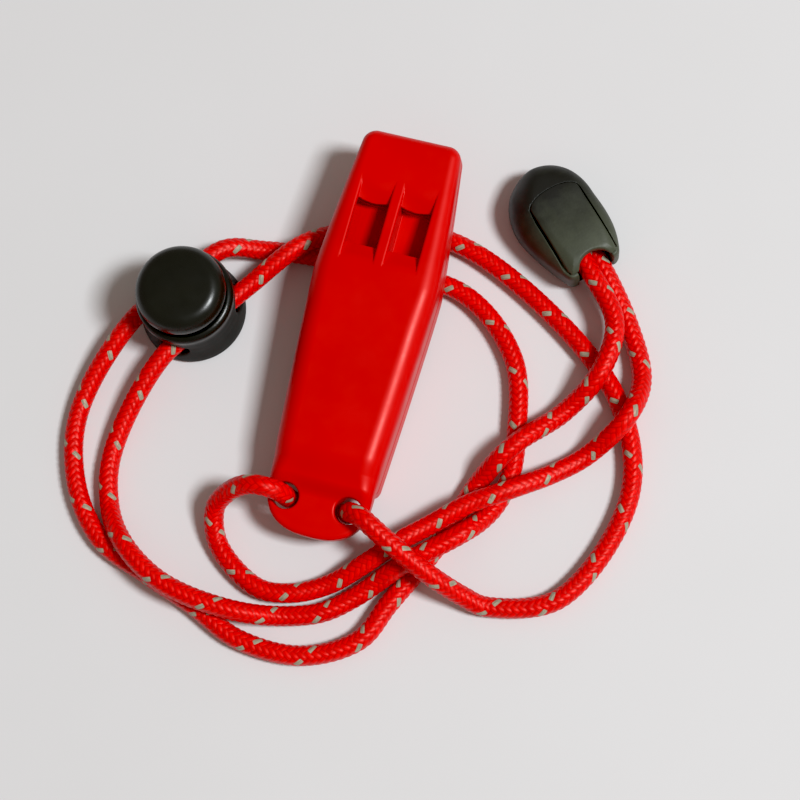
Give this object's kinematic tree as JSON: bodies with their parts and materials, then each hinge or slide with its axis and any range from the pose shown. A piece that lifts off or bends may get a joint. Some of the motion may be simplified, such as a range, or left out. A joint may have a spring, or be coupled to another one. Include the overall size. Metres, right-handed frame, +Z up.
{
  "type": "training whistle on a cord",
  "caption": "Flat moulded whistle with a twin-window voice, a slotted tail tab on a looped braided cord, a push-button cord lock and an end clip with a hinged lid.",
  "frame": {"origin": "on the surface the object lies on, under the middle of the whistle's bounding box", "axes": "+Z up from that surface; +Y along the whistle, from its tail tab to its mouthpiece; +X to the right with the window side up"},
  "size_m": [0.0973, 0.0926, 0.0161],
  "materials": {
    "whistle_plastic": "smooth satin gloss, signal red",
    "braided_cord": "tight braid with short pale flecks",
    "lock_plastic": "moulded, soft sheen",
    "clip_plastic": "moulded, fine grain",
    "spring_steel": "drawn wire"
  },
  "bodies": {
    "whistle_and_cord": {"whistle_front_shell": "whistle_plastic", "whistle_back_shell": "whistle_plastic", "lanyard_cord": "braided_cord", "cord_end_knot": "braided_cord", "lock_barrel": "lock_plastic", "lock_spring": "spring_steel", "clip_housing": "clip_plastic"},
    "plunger": {"lock_plunger": "lock_plastic"},
    "lid": {"clip_lid": "clip_plastic"}
  },
  "joints": [
    {"name": "lock_press", "type": "slide", "parent": "whistle_and_cord", "child": "plunger", "axis": [0, 0, -1], "range_m": [0, 0.0012], "stiffness_N_per_m": 2500, "deforming": ["lock_spring"]},
    {"name": "clip_lid_hinge", "type": "hinge", "parent": "whistle_and_cord", "child": "lid", "pos_m": [0.02362, 0.03238, 0.0085], "axis": [-0.7071, -0.7071, 0], "range_deg": [0, 95]}
  ]
}
